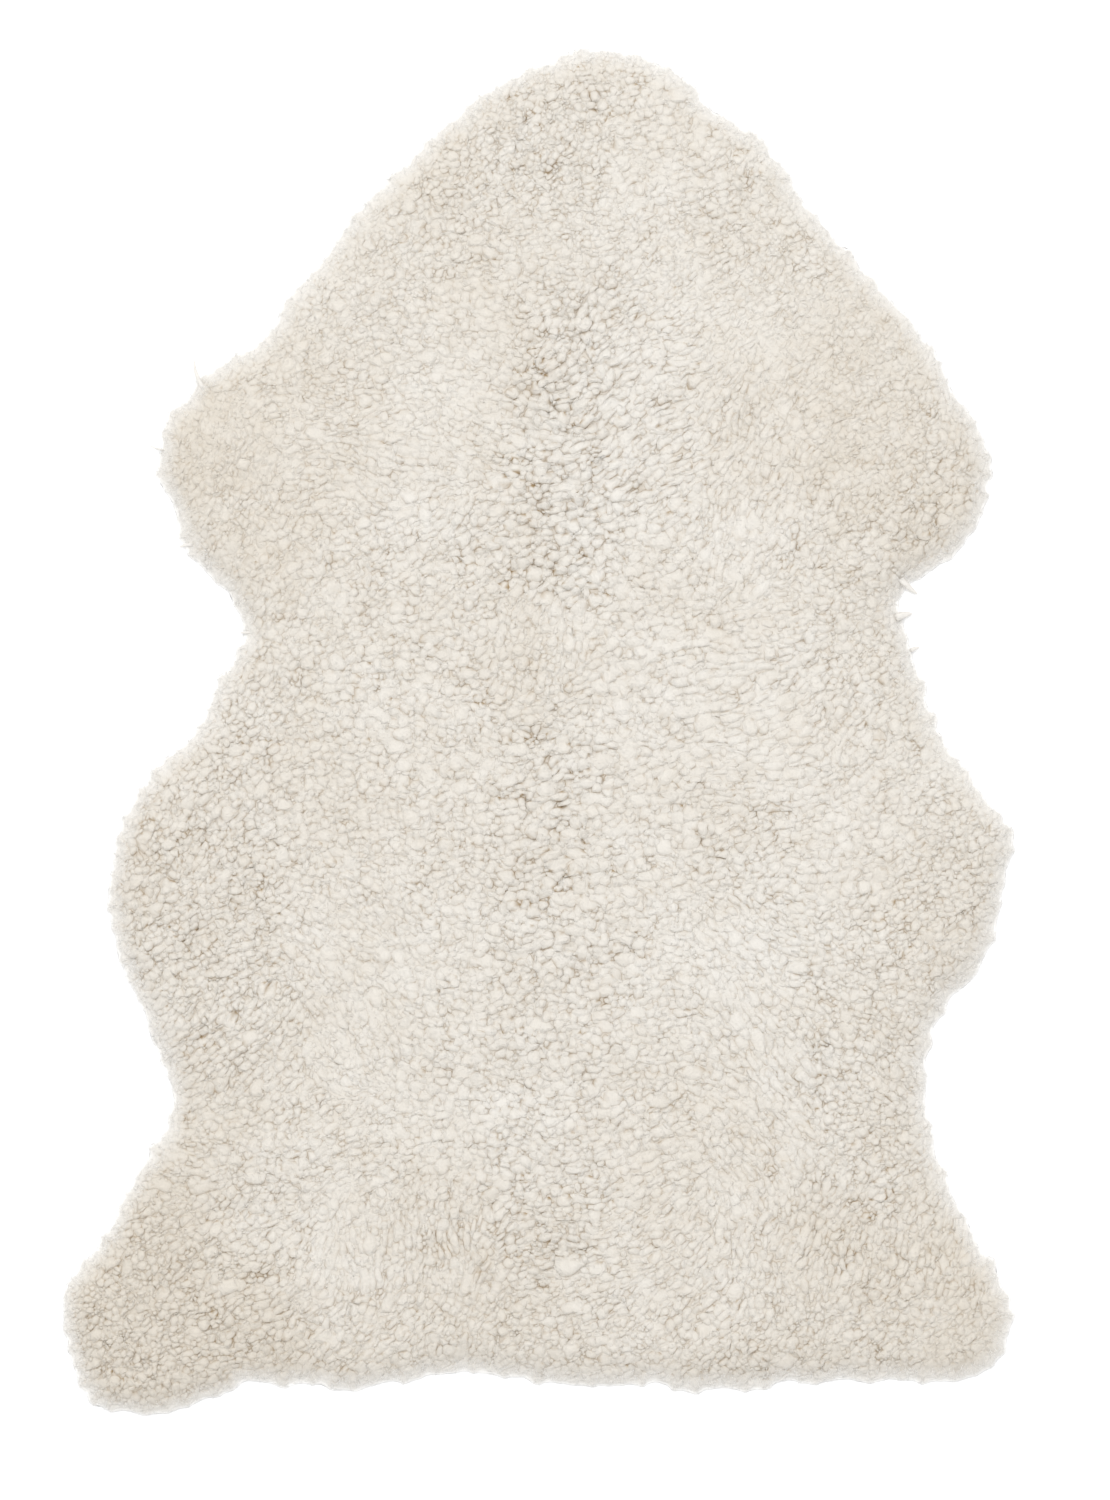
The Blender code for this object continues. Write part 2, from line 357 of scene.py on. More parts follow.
def inwardAt(points):
    # the way in from the nearest stretch of outline
    steps = np.array([[land["cell"], 0], [0, land["cell"]]])
    return unit(np.stack([
        fromLand("inland", points + step) - fromLand("inland", points - step) for step in steps
    ], axis=-1))


def laidDown(points):
    # the flat fleece's places brought to where they lie: position, outward normal, how far round the rim
    inland, inward = fromLand("inland", points), inwardAt(points)
    foot = points - inward * inland[..., None]
    inland = inland + rim["wave"] * layered(foot, rim["waves"])
    turn = math.pi / 2 * np.clip((inland + rimOver) / rimRun, 0, 1)
    inset = np.where(turn < math.pi / 2, rim["wide"] * (1 - np.cos(turn)), inland)
    flat = points + inward * (inset - inland)[..., None]
    level = np.maximum(fromLand("level", flat) * np.sin(turn), rim["foot"])
    normal = np.concatenate([
        -inward * np.cos(turn)[..., None] / rim["wide"], np.sin(turn)[..., None] / rim["tall"],
    ], axis=-1)
    return np.concatenate([flat, level[..., None]], axis=-1), unit(normal), turn / (math.pi / 2)


def settle():
    # places for the curls: darts thrown at the fleece, kept where nothing else stands too near
    dice = np.random.default_rng(fleece["seed"])
    spots = dice.uniform(boxLow - fleece["margin"], boxHigh + fleece["margin"], (fleece["darts"], 2))
    spots = spots[fromLand("inland", spots) > -rimOver * curls["lowest"]]
    count = len(spots)
    lie, width, stretch, relief, warmth = woolCharacter(spots)
    width = width * fleece["size"] * np.exp(fleece["sizeSpread"] * dice.standard_normal(count))
    shares, sizes = np.array(fleece["rounds"]).T
    width = width * sizes[np.searchsorted(shares, np.arange(count) / count)]
    stretch = stretch * (1 + fleece["stretchSpread"] * dice.standard_normal(count))
    stretch = np.clip(stretch, *fleece["stretchLimits"])

    shelves, kept = {}, []
    keys = np.floor(spots / fleece["shelf"]).astype(int)
    cos, sin = np.cos(lie), np.sin(lie)
    for index in range(count):
        column, row = keys[index]
        near = [
            other for i in (-1, 0, 1) for j in (-1, 0, 1)
            for other in shelves.get((column + i, row + j), ())
        ]
        if near:
            gap = spots[near] - spots[index]
            u = (gap[:, 0] * cos[index] + gap[:, 1] * sin[index]) / stretch[index]
            v = gap[:, 1] * cos[index] - gap[:, 0] * sin[index]
            room = fleece["crowding"] * 0.5 * (width[index] + width[near])
            if np.any(u * u + v * v < room * room):
                continue
        shelves.setdefault((column, row), []).append(index)
        kept.append(index)
    return {
        "spot": spots[kept], "lie": lie[kept], "width": width[kept], "stretch": stretch[kept],
        "relief": relief[kept], "warmth": warmth[kept],
    }


# clumps, which the curls stand in
clump = {
    "size": 15 * mm,
    "seed": 5,
    "neighbours": 7,  # looked at from each point
    "push": {"reach": 3 * mm, "layers": ((12 * mm, 8, 1.0),)},
    "long": (0.6, 0.9),  # length over width, and its gain with that of the curls
    "slope": 0.5,  # of the size, over which the wool falls away at a clump's side
    "deep": 1.30 * mm,  # how much deeper the wool is between clumps
    "middle": 0.6,  # lift that neither raises nor lowers the wool
    "reliefPower": 1.6,
    "beyond": 16 * mm,  # how far outside the outline they are read
}


def byRelief(shares, relief):
    # a value in calm wool, and its gain with the relief
    calm, gain = shares
    return calm + gain * relief


def plantClumps():
    dice = np.random.default_rng(clump["seed"])
    count = int((boxHigh - boxLow).prod() / clump["size"] ** 2)
    middles = dice.uniform(boxLow, boxHigh, (count, 2))
    lie, _, stretch, _, _ = woolCharacter(middles)
    return {"tree": kdTreeOf(middles), "middle": middles, "lie": lie, "stretch": stretch}


def clumpLift(points):
    # 1 on top of a clump, 0 in the parting between two
    points = pushed(points, clump["push"])
    find, count = clumps["tree"].find_n, clump["neighbours"]
    near = np.array([[index for _, index, _ in find((*point, 0), count)] for point in points])
    gap = points[:, None, :] - clumps["middle"][near]
    turn, long = clumps["lie"][near], byRelief(clump["long"], clumps["stretch"][near])
    u = (gap[..., 0] * np.cos(turn) + gap[..., 1] * np.sin(turn)) / np.sqrt(long)
    v = (gap[..., 1] * np.cos(turn) - gap[..., 0] * np.sin(turn)) * np.sqrt(long)
    away = np.sort(np.hypot(u, v), axis=1)
    return np.clip((away[:, 1] - away[:, 0]) / (clump["slope"] * clump["size"]), 0, 1)


def readClumps():
    # the same over the whole skin, on its lattice
    cells = np.argwhere(skinLand["inland"] > -clump["beyond"])
    spots = cells * land["cell"] + (skinLand["left"], skinLand["foot"])
    skinLand["lift"] = np.zeros_like(skinLand["inland"])
    skinLand["lift"][tuple(cells.T)] = clumpLift(spots)


def clumpRise(points, relief):
    # how far the wool is lifted on a clump, or lowered between two
    lift = np.sqrt(fromLand("lift", points)) - clump["middle"]
    return lift * clump["deep"] * relief ** clump["reliefPower"]


# long partings that follow the lie of the wool
partingLine = {
    "size": 11 * mm,
    "seed": 73,
    "stride": 6 * mm,  # between samples taken along the lie
    "samples": 7,
    "broad": 0.13,  # half width, in the field's own units
    "jag": {"reach": 1.8 * mm, "layers": ((5.5 * mm, 71, 1.0),)},
    "share": 0.35,  # mean strength, and how it comes and goes
    "shareLayers": ((24 * mm, 74, 1.4),),
    "reliefTop": 1.5,
    "reliefPower": 1.4,
    "hollow": 1.4 * mm,  # deepest at full strength
}


def partingField(points, lie):
    # noise drawn out along the lie; partings run where it passes through zero
    points = pushed(points, partingLine["jag"])
    way = np.stack([np.cos(lie), np.sin(lie)], axis=-1) * partingLine["stride"]
    steps = np.arange(partingLine["samples"]) - (partingLine["samples"] - 1) / 2
    size, seed = partingLine["size"], partingLine["seed"]
    return sum(softNoise(points + step * way, size, seed) for step in steps) / len(steps)


def partings(points, lie, relief):
    # 1 in the middle of a parting, less where the wool is calm, 0 away from it
    strength = np.clip(partingLine["share"] + layered(points, partingLine["shareLayers"]), 0, 1)
    strength = strength * np.clip(relief, 0, partingLine["reliefTop"]) ** partingLine["reliefPower"]
    return strength * np.exp(-(partingField(points, lie) / partingLine["broad"]) ** 2)


# unevenness that the mat and the curls share
uneven = {
    "felt": 0.34,  # mean share of the wool that is matted smooth
    "feltLayers": ((11 * mm, 41, 1.0), (5 * mm, 42, 0.5)),
    "ripple": 0.22 * mm,
    "rippleLayers": ((4.4 * mm, 67, 1.0), (2.3 * mm, 68, 0.7)),
    "calm": 0.22,  # share of the relief that is left at the rim, and how far round it is so low
    "calmFrom": 0.35,
}


def felting(points):
    # 1 where the wool is matted smooth, 0 where every curl shows
    return np.clip(uneven["felt"] + layered(points, uneven["feltLayers"]), 0, 1)


def ripple(points):
    return uneven["ripple"] * layered(points, uneven["rippleLayers"])


def relax(turn):
    # relief fades towards the rim
    fade = np.clip((turn - uneven["calmFrom"]) / (1 - uneven["calmFrom"]), 0, 1)
    return byRelief((uneven["calm"], 1 - uneven["calm"]), fade)


def toneOf(creaseShade, deep, warmth, turn):
    # what the wool's colour is read from at each point
    return np.stack([np.clip(creaseShade, 0, 1), deep, warmth, 1 - turn], axis=-1)


# matted wool, a lumpy sheet that the curls stand out of
mat = {
    "step": 2.5 * mm,
    "margin": 14 * mm,  # round the skin
    "over": 2.2,  # waves of the outline that the sheet reaches past the rim
    "drop": 0.95 * mm,  # below the skin's surface
    "dropBy": (0.4, 0.6),
    "felt": 0.80 * mm,  # and how far it rises where it is matted
    "paintedShade": 0.24,
    "paintedShadeBy": (0.25, 0.80),
    "paintedShadeFelt": 0.9,  # share of the painted shade that goes where it is matted
}


def layMat(material):
    low, high = boxLow - mat["margin"], boxHigh + mat["margin"]
    step = mat["step"]
    cells = np.ceil((high - low) / step).astype(int)
    cut = cells[1] // 2
    for name, first, last in (("foreMat", cut, cells[1]), ("hindMat", 0, cut)):
        rows = last - first
        sheet = bmesh.new()
        bmesh.ops.create_grid(sheet, x_segments=cells[0], y_segments=rows, size=1.0)
        bmesh.ops.translate(sheet, verts=sheet.verts, vec=(1, 1 + 2 * first / rows, 0))
        bmesh.ops.scale(sheet, verts=sheet.verts, vec=(cells[0] / 2 * step, rows / 2 * step, 1))
        bmesh.ops.translate(sheet, verts=sheet.verts, vec=(*low, 0))
        spots = np.array([vert.co.xy for vert in sheet.verts])
        outside = fromLand("inland", spots) < -rimOver - mat["over"] * rim["wave"] - step
        gone = [vert for vert, out in zip(sheet.verts, outside) if out]
        bmesh.ops.delete(sheet, geom=gone, context="VERTS")
        sheet.verts.index_update()
        turn = laidDown(spots[~outside])[2]
        gone = [face for face in sheet.faces if all(turn[vert.index] <= 0 for vert in face.verts)]
        bmesh.ops.delete(sheet, geom=gone, context="FACES")

        spots = np.array([vert.co.xy for vert in sheet.verts])
        lie, _, _, relief, warmth = woolCharacter(spots)
        parted, felt = partings(spots, lie, relief), felting(spots)
        middle, normal, turn = laidDown(spots)
        height = clumpRise(spots, relief) - mat["drop"] * byRelief(mat["dropBy"], relief)
        height = height + mat["felt"] * felt - partingLine["hollow"] * parted
        at = middle + normal * ((height + ripple(spots)) * relax(turn))[:, None]
        at[:, 2] = np.maximum(at[:, 2], rim["foot"])
        for vert, point in zip(sheet.verts, at):
            vert.co = point
        mesh = meshOf(name, sheet)
        corners = np.zeros(len(mesh.loops), dtype=np.int32)
        mesh.loops.foreach_get("vertex_index", corners)
        # painted shade on the mat between the curls, less where it is matted
        paintedShade = mat["paintedShade"] * (1.0 - mat["paintedShadeFelt"] * felt) * byRelief(mat["paintedShadeBy"], relief)
        dressed(name, mesh, corners, toneOf(paintedShade, parted, warmth, turn), spots, spots / mm, material)


# curls
curls = {
    "seed": 21,
    "grids": ((3, 3.7), (4, 6.6), (5, 99.0)),  # cells a side, up to this width in mm
    "shapes": 7,  # shapes drawn for each size
    "shapeSeed": 100,  # times the cells a side, for the first shape
    "lowest": 0.45,  # share of the rim that curls reach down
    "height": 0.70,  # over the width, at full relief
    "heightBy": (0.15, 0.85),
    "sink": 0.85,  # of the height below the skin's surface
    "crest": 0.5 * mm,  # and a rise that all curls share, at full relief
    "overlap": 1.60,  # curl width over its share of the surface
    "slender": (0.85, 0.15),  # powers of the stretch that lengthen and narrow a curl
    "wrap": 76,  # degrees from the crown to the skirt
    "flatness": 0.28,
    "bend": 0.45,
    "bendFrom": 0.35,  # square of the way along at which the bend leaves a curl where it is
    "taper": 0.28,
    "bulge": (0.18, 1.4),  # how far the sides go in and out, and how closely
    "dent": (0.22, 1.7),  # the same for the crown
    "drift": 50,  # reach within which each shape takes its noise
    "skirt": 1.6 * mm,  # how far below the skin's surface the outermost ring hangs
    "skirtBy": (0.6, 0.4),
    "paintedShadeTop": 0.905,  # crown height at which the painted crease shade begins, and how far down it is full
    "paintedShadeDeep": 0.23,
    "paintedShadeBy": (0.15, 0.95),
    "heave": 0.06,  # how much curls differ in level, over their height
    "unlike": 0.15,  # and in height
    "tip": 0.12,  # lean, in radians
    "whorl": 0.75,  # how far off its middle the fibres of a curl wind
    "push": {"reach": 1.4 * mm, "layers": ((6.5 * mm, 61, 1.0), (3.2 * mm, 64, 0.5))},
}


def curlShape(cells, dice):
    # a pillow of wool: a grid drawn over a dome, then bent and tapered
    dome = bmesh.new()
    bmesh.ops.create_grid(dome, x_segments=cells, y_segments=cells, size=1.0)
    bend = dice.uniform(-curls["bend"], curls["bend"])
    taper = dice.uniform(-curls["taper"], curls["taper"])
    drift = Vector(dice.uniform(-curls["drift"], curls["drift"], 3))
    bulge, bulgeScale = curls["bulge"]
    dent, dentScale = curls["dent"]
    layout = []
    for vert in dome.verts:
        x, y = vert.co.x, vert.co.y
        layout.append((x, y))
        x, y = x * math.sqrt(1 - y * y / 2), y * math.sqrt(1 - x * x / 2)
        radius = math.hypot(x, y)
        polar = radius * math.radians(curls["wrap"])
        height = math.cos(polar) ** curls["flatness"]
        spread = math.sin(polar) / max(radius, 1e-6)
        x, y = x * spread, y * spread
        side = 1 + bulge * noise.noise(Vector((x * bulgeScale, y * bulgeScale, height)) + drift)
        height += dent * noise.noise(Vector((x * dentScale, y * dentScale, 3.0)) + drift)
        y *= 1 + taper * x
        x, y = x * side, y * side
        y += bend * (x * x - curls["bendFrom"])
        vert.co = (x, y, height)
    bmesh.ops.triangulate(dome, faces=dome.faces)
    shape = {
        "points": np.array([vert.co for vert in dome.verts]),
        "faces": np.array([[vert.index for vert in face.verts] for face in dome.faces]),
        "layout": np.array(layout),
        "hem": np.array([vert.is_boundary for vert in dome.verts]),
    }
    dome.free()
    return shape


def stack(parts):
    # one array of points, faces and so on from many
    offset, joined = 0, {name: [] for name in parts[0]}
    for part in parts:
        for name, values in part.items():
            joined[name].append(values + offset if name == "faces" else values)
        offset += len(part["points"])
    return {name: np.concatenate(values) for name, values in joined.items()}


# the pieces that the curls are joined in, with the lowest y of each in mm
zones = {
    "neckCurls": 232, "shoulderCurls": 105, "backCurls": -38, "loinCurls": -180, "flankCurls": -325,
    "legCurls": -600,
}


def measureCurls(places):
    # each curl's shape, size, level, lean and zone
    dice = np.random.default_rng(curls["seed"])
    count = len(places["width"])
    shape = dice.integers(0, curls["shapes"], count)
    flip = np.where(dice.random(count) < 0.5, -1.0, 1.0)
    half = places["width"] * curls["overlap"] / 2
    lengthen, narrow = curls["slender"]
    rough = byRelief(curls["heightBy"], places["relief"])
    unlike = np.exp(curls["unlike"] * dice.standard_normal(count))
    return {
        **places,
        "grid": np.searchsorted([limit * mm for _, limit in curls["grids"]], places["width"]),
        "shape": shape,
        "flip": flip,
        "long": half * places["stretch"] ** lengthen,
        "wide": half * places["stretch"] ** -narrow,
        "tall": places["width"] * curls["height"] * rough * unlike,
        "crest": curls["crest"] * rough,
        "skirt": curls["skirt"] * byRelief(curls["skirtBy"], places["relief"]),
        "paintedShade": byRelief(curls["paintedShadeBy"], places["relief"]),
        "heave": curls["heave"] * dice.standard_normal(count),
        "lean": curls["tip"] * dice.standard_normal((count, 2)),
        "whorl": dice.uniform(-curls["whorl"], curls["whorl"], (count, 2)),
        "zone": np.searchsorted(-np.array(list(zones.values())) * mm, -places["spot"][:, 1]),
    }


def growLikeCurls(shape, mine):
    # all curls of one shape, in one zone
    points, layout, count = shape["points"], shape["layout"], len(mine["width"])
    mine = {name: values[:, None] for name, values in mine.items()}
    each = {name: np.repeat(mine[name], len(points)) for name in ("lie", "relief", "warmth", "paintedShade")}
    x, y = points[:, 0] * mine["long"], points[:, 1] * (mine["wide"] * mine["flip"])
    crown = np.tile(points[:, 2], (count, 1))
    z = (crown - curls["sink"] + mine["heave"]) * mine["tall"] + mine["crest"]
    z = z + x * mine["lean"][..., 0] + y * mine["lean"][..., 1]
    z = np.where(shape["hem"], np.minimum(z, -mine["skirt"]), z)
    cos, sin = np.cos(mine["lie"]), np.sin(mine["lie"])
    flat = mine["spot"] + np.stack([x * cos - y * sin, x * sin + y * cos], axis=-1)
    flat = flat.reshape(-1, 2)
    middle, normal, turn = laidDown(pushed(flat, curls["push"]))
    parted = partings(flat, each["lie"], each["relief"])
    rise = clumpRise(flat, each["relief"]) + ripple(flat) - partingLine["hollow"] * parted
    at = middle + normal * ((z.ravel() + rise) * relax(turn))[:, None]
    at[:, 2] = np.maximum(at[:, 2], rim["foot"])
    # painted crease shade, growing lower down each curl's sides
    paintedShade = (curls["paintedShadeTop"] - crown.ravel()) / curls["paintedShadeDeep"] * each["paintedShade"]
    strand = (layout - mine["whorl"]) * np.stack([mine["long"], mine["wide"]], axis=2) / mm
    faces = np.where(mine["flip"][..., None] < 0, shape["faces"][:, ::-1], shape["faces"])
    return {
        "points": at, "faces": (faces + (np.arange(count) * len(points))[:, None, None]).reshape(-1, 3),
        "tone": toneOf(paintedShade, parted, each["warmth"], turn), "flat": flat, "strand": strand.reshape(-1, 2),
    }


def growCurls(places, material):
    measured = measureCurls(places)
    grown = {name: [] for name in zones}
    for grid, (cells, _) in enumerate(curls["grids"]):
        for index in range(curls["shapes"]):
            shape = curlShape(cells, np.random.default_rng(curls["shapeSeed"] * cells + index))
            alike = (measured["grid"] == grid) & (measured["shape"] == index)
            for zone, name in enumerate(grown):
                mine = np.flatnonzero(alike & (measured["zone"] == zone))
                if len(mine):
                    picked = {part: values[mine] for part, values in measured.items()}
                    grown[name].append(growLikeCurls(shape, picked))
    for name, parts in grown.items():
        meshFrom(name, stack(parts), material)


def dressed(name, mesh, corners, tone, flat, strand, material):
    # attributes, material and a place in the frame for a finished mesh
    mesh.polygons.foreach_set("use_smooth", np.ones(len(mesh.polygons), dtype=bool))
    mesh.color_attributes.new("wool", "FLOAT_COLOR", "POINT").data.foreach_set("color", tone.ravel())
    for layerName, values in (("fleece", flat), ("strand", strand)):
        layer = mesh.uv_layers.new(name=layerName)
        layer.data.foreach_set("uv", values[corners].astype(np.float32).ravel())
    mesh.update()
    mesh.materials.append(material)
    print("wool:", name, sum(len(face.vertices) - 2 for face in mesh.polygons), "triangles")
    belong(placed(name, mesh))


def meshFrom(name, made, material):
    mesh = bpy.data.meshes.new(name)
    points, faces = made["points"], made["faces"]
    mesh.vertices.add(len(points))
    mesh.vertices.foreach_set("co", points.astype(np.float32).ravel())
    mesh.loops.add(faces.size)
    mesh.loops.foreach_set("vertex_index", faces.astype(np.int32).ravel())
    mesh.polygons.add(len(faces))
    mesh.polygons.foreach_set("loop_start", np.arange(0, faces.size, 3, dtype=np.int32))
    mesh.update(calc_edges=True)
    dressed(name, mesh, faces.ravel(), made["tone"], made["flat"], made["strand"], material)


def belong(piece):
    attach(piece, "root")
    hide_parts("sheepskin")


# wool finish
woolFinish = {
    "ivory": (0.670, 0.643, 0.598, 1),
    "beige": (0.602, 0.556, 0.487, 1),
    # the colour of the painted shade in creases and partings
    "creaseShade": (0.315, 0.22, 0.115, 1),
    # paler over the rim: partly the wool's own paler colour, partly painted light standing in for light
    # through thin wool
    "rim": (0.715, 0.692, 0.655, 1),
    # near-white at the foot: painted light that hides the shade where the wool meets the floor
    "foot": (0.93, 0.92, 0.90, 1),
    "coarse": 0.6,  # roughness of all its noise
    "cloud": (9.0, 3.0),  # scale and detail of the patches, and how far they shift the warmth
    "cloudy": 1.1,
    "mottle": (60.0, 2.0),
    "mottled": 0.7,
    "rimFrom": (0.04, 0.75),  # how far over the rim the colour starts to pale, and is pale
    "paintedFootLightFrom": (0.62, 0.92),
    "breaks": (120.0, 2.0),  # where the painted crease shade breaks off, and what is left of it there
    "breakFrom": (0.42, 0.60),
    "breakLeast": 0.10,
    "creasePower": 1.25,
    "paintedShade": 0.80,  # painted shade of a crease, and what a parting adds
    "paintedShadeParted": 0.70,
    "whorl": 0.52,  # fibres to a mm, outwards from the middle of a whorl
    "eye": 0.02,  # square of the radius of its open middle, in mm
    "fibre": 1.1,
    "felt": (430.0, 3.0),
    "felted": 0.9,
    "smoothRim": 0.6,  # share of the pile that is gone at the rim
    "tint": 0.86,  # darkest fibre, and what fibre and felt add
    "tintSwing": 0.13,
    "rough": 0.82,
    "roughSwing": 0.2,
    "bump": 0.85,
    "bumpDeep": 1.0 * mm,
}


def curlFinish():
    wool, look = Finish("curlyWool"), woolFinish
    # red holds the painted crease shade, green the parting, which adds to it, blue the warmth, alpha how far
    # over the rim
    tone = wool.node("ShaderNodeAttribute", {"attribute_name": "wool"})
    creaseShade = wool.node("ShaderNodeSeparateColor", {}, {"Color": tone})
    parting, warmth, edge = creaseShade.output("Green"), creaseShade.output("Blue"), tone.output("Alpha")
    place = wool.node("ShaderNodeUVMap", {"uv_map": "fleece"})
    strand = wool.node("ShaderNodeUVMap", {"uv_map": "strand"})

    def cloudy(scale, detail):
        return wool.grain(place, scale, detail, look["coarse"], {"noise_dimensions": "2D"})

    def ramp(value, limits, start=0.0):
        low, high = limits
        return wool.node("ShaderNodeMapRange", {"interpolation_type": "SMOOTHSTEP"},
                         {"Value": value, "From Min": low, "From Max": high, "To Min": start, "To Max": 1.0})

    cloud, mottle = cloudy(*look["cloud"]), cloudy(*look["mottle"])
    warm = warmth + (cloud - 0.5) * look["cloudy"] + (mottle - 0.5) * look["mottled"]
    body = wool.mix(warm, look["ivory"], look["beige"])
    # paler over the rim, partly painted light, and near-white painted light at the foot
    rimShare = ramp(edge, look["rimFrom"])
    body = wool.mix(rimShare, body, look["rim"])
    body = wool.mix(ramp(edge, look["paintedFootLightFrom"]), body, look["foot"])
    broken = ramp(cloudy(*look["breaks"]), look["breakFrom"], look["breakLeast"])
    # painted shade in the creases, broken up, deeper in partings and fading over the rim
    paintedShade = (1 - rimShare) * creaseShade ** look["creasePower"] * broken
    paintedShade = paintedShade * (parting * look["paintedShadeParted"] + look["paintedShade"])
    colour = wool.mix(paintedShade, body, look["creaseShade"])

    # fibres wind round a whorl in each curl
    u = wool.node("ShaderNodeSeparateXYZ", {}, {"Vector": strand})
    v = u.output("Y")
    radius = (u * u + v * v + look["eye"]) ** 0.5
    ring = wool.node("ShaderNodeCombineXYZ", {}, {0: radius * look["whorl"], 1: u / radius, 2: v / radius})
    fibre = wool.grain(ring, 1.0, 2.0, look["coarse"])
    felt = cloudy(*look["felt"])
    pile = (fibre * look["fibre"] + felt * look["felted"]) * (1 - edge * look["smoothRim"])
    tint = look["tint"] + (fibre + felt) * look["tintSwing"]
    grey = wool.node("ShaderNodeCombineColor", {}, {0: tint, 1: tint, 2: tint})
    return wool.dress(
        Base_Color=wool.mix(1.0, colour, grey, "MULTIPLY"),
        Roughness=look["rough"] + (fibre - 0.5) * look["roughSwing"],
        Normal=wool.bump(pile, look["bump"], look["bumpDeep"]),
        Specular_IOR_Level=0.25, Sheen_Weight=0.25, Sheen_Roughness=0.5, Sheen_Tint=(1.0, 0.97, 0.92, 1),
    )


# fine hairs that stand off the rim, and a few over the curls
wisps = {
    # how far round the rim, how many, how far they swing in radians, and share of the length
    "rimHairs": (0.25, 0.80, 7000, 0.75, 1.0),
    "topHairs": (0.9, 2.0, 500, 3.0, 0.75),
    "darts": 200000,  # tries at placing a hair
    "margin": 12 * mm,
    "length": (3.0, 8.0),  # mm
    "radius": 0.12 * mm,  # at the root
    "sides": 3,
    "rings": ((0.5, 0.8),),
    "sunk": 0.4 * mm,
    "rise": (0.1, 0.6),  # over the way outwards
    "curl": 1.1,  # radians over the length
    "seed": 31,
    "colour": (0.93, 0.92, 0.90, 1),
    "dull": 0.9,  # of that colour
    "cloud": (40.0, 2.0),
}


def taperShape(sides, rings):
    # one unit long from root to tip and closed at both ends; a ring is a level along it and its width
    lock = bmesh.new()
    bmesh.ops.create_circle(lock, segments=sides, radius=1.0, cap_ends=True)
    edges = list(lock.edges)
    for level, width in rings:
        grown = bmesh.ops.extrude_edge_only(lock, edges=edges)["geom"]
        ring = [part for part in grown if isinstance(part, bmesh.types.BMVert)]
        edges = [part for part in grown if isinstance(part, bmesh.types.BMEdge)
                 and all(vert in ring for vert in part.verts)]
        for vert in ring:
            across = vert.co.xy.normalized() * width
            vert.co = (across.x, across.y, level)
    tip = bmesh.ops.extrude_edge_only(lock, edges=edges)["geom"]
    ends = [part for part in tip if isinstance(part, bmesh.types.BMVert)]
    bmesh.ops.pointmerge(lock, verts=ends, merge_co=(0, 0, 1))
    bmesh.ops.triangulate(lock, faces=lock.faces)
    bmesh.ops.recalc_face_normals(lock, faces=lock.faces)
    points = np.array([vert.co for vert in lock.verts])
    faces = np.array([[vert.index for vert in face.verts] for face in lock.faces])
    lock.free()
    return points, faces


def combed(shape, roots, ways, lengths, bends, radii, tone):
    # copies of a shape, each along its own direction and bent sideways by its own angle
    points, faces = shape
    side = unit(np.cross(ways, (0.0, 0.0, 1.0)) + 1e-6)
    over = np.cross(side, ways)
    run = points[None, :, 2]
    bends = np.where(np.abs(bends) > 1e-3, bends, 1e-3)[:, None]
    forward, sideways = np.sin(bends * run) / bends, (1 - np.cos(bends * run)) / bends
    at = (
        roots[:, None, :]
        + (lengths[:, None] * forward)[..., None] * ways[:, None, :]
        + (lengths[:, None] * sideways + radii[:, None] * points[None, :, 0])[..., None] * side[:, None, :]
        + (radii[:, None] * points[None, :, 1])[..., None] * over[:, None, :]
    )
    at[..., 2] = np.maximum(at[..., 2], rim["foot"])
    count = len(roots)
    at = at.reshape(-1, 3)
    faces = faces[None] + (np.arange(count) * len(points))[:, None, None]
    strand = points[:, [0, 2]] * (2.0, 7.0)  # mm across and along
    return {
        "points": at, "faces": faces.reshape(-1, 3), "tone": np.tile(tone, (len(at), 1)),
        "flat": at[:, :2], "strand": np.tile(strand, (count, 1)),
    }


def hairFinish():
    hair = Finish("woolHair")
    cloud = hair.grain(hair.node("ShaderNodeTexCoord").output("Object"), *wisps["cloud"])
    dull = (*(part * wisps["dull"] for part in wisps["colour"][:3]), 1)
    return hair.dress(
        Base_Color=hair.mix(cloud, dull, wisps["colour"]), Roughness=0.8,
        Specular_IOR_Level=0.2, Sheen_Weight=0.2,
    )


def growWisps():
    dice = np.random.default_rng(wisps["seed"])
    material = hairFinish()
    shape = taperShape(wisps["sides"], wisps["rings"])
    spots = dice.uniform(boxLow - wisps["margin"], boxHigh + wisps["margin"], (wisps["darts"], 2))
    spots = spots[fromLand("inland", spots) > -rimOver]
    turn = laidDown(spots)[2]
    for name in ("rimHairs", "topHairs"):
        low, high, count, spread, share = wisps[name]
        mine = spots[(turn > low) & (turn < high)][:count]
        roots, upward, _ = laidDown(mine)
        count = len(roots)
        outward = -inwardAt(mine)
        swing = dice.normal(0, spread, count)
        cos, sin = np.cos(swing), np.sin(swing)
        ways = np.stack([
            outward[:, 0] * cos - outward[:, 1] * sin, outward[:, 0] * sin + outward[:, 1] * cos,
            np.zeros(count),
        ], axis=1)
        ways = unit(ways + upward * dice.uniform(*wisps["rise"], count)[:, None])
        lengths = dice.uniform(*wisps["length"], count) * mm * share
        bends, radii = dice.normal(0, wisps["curl"], count), np.full(count, wisps["radius"])
        roots = roots - upward * wisps["sunk"]
        meshFrom(name, combed(shape, roots, ways, lengths, bends, radii, (0, 0, 0, 1)), material)


